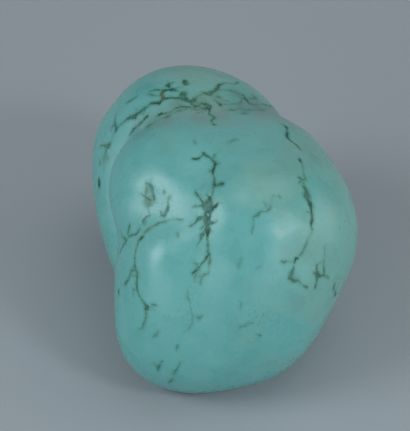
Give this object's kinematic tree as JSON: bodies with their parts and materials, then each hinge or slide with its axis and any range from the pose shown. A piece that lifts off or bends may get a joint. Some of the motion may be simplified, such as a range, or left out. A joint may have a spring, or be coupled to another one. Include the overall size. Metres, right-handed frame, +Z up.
{
  "type": "raw turquoise nugget",
  "caption": "Rounded, tumbled lump of blue-green turquoise with dark matrix veins and a seam between its two swells, resting on a worn flat base.",
  "frame": {"origin": "bottom centre of the stone's bounding box, in the plane of its worn flat base", "axes": "+Z up, -Y to the front of the stone, +X to its right as seen from the front"},
  "size_m": [0.0346, 0.044, 0.0303],
  "materials": {
    "turquoise": "tumbled to a soft waxy gloss, blue-green with darker green-brown matrix veins"
  },
  "bodies": {
    "root": {"nugget": "turquoise"}
  },
  "joints": []
}
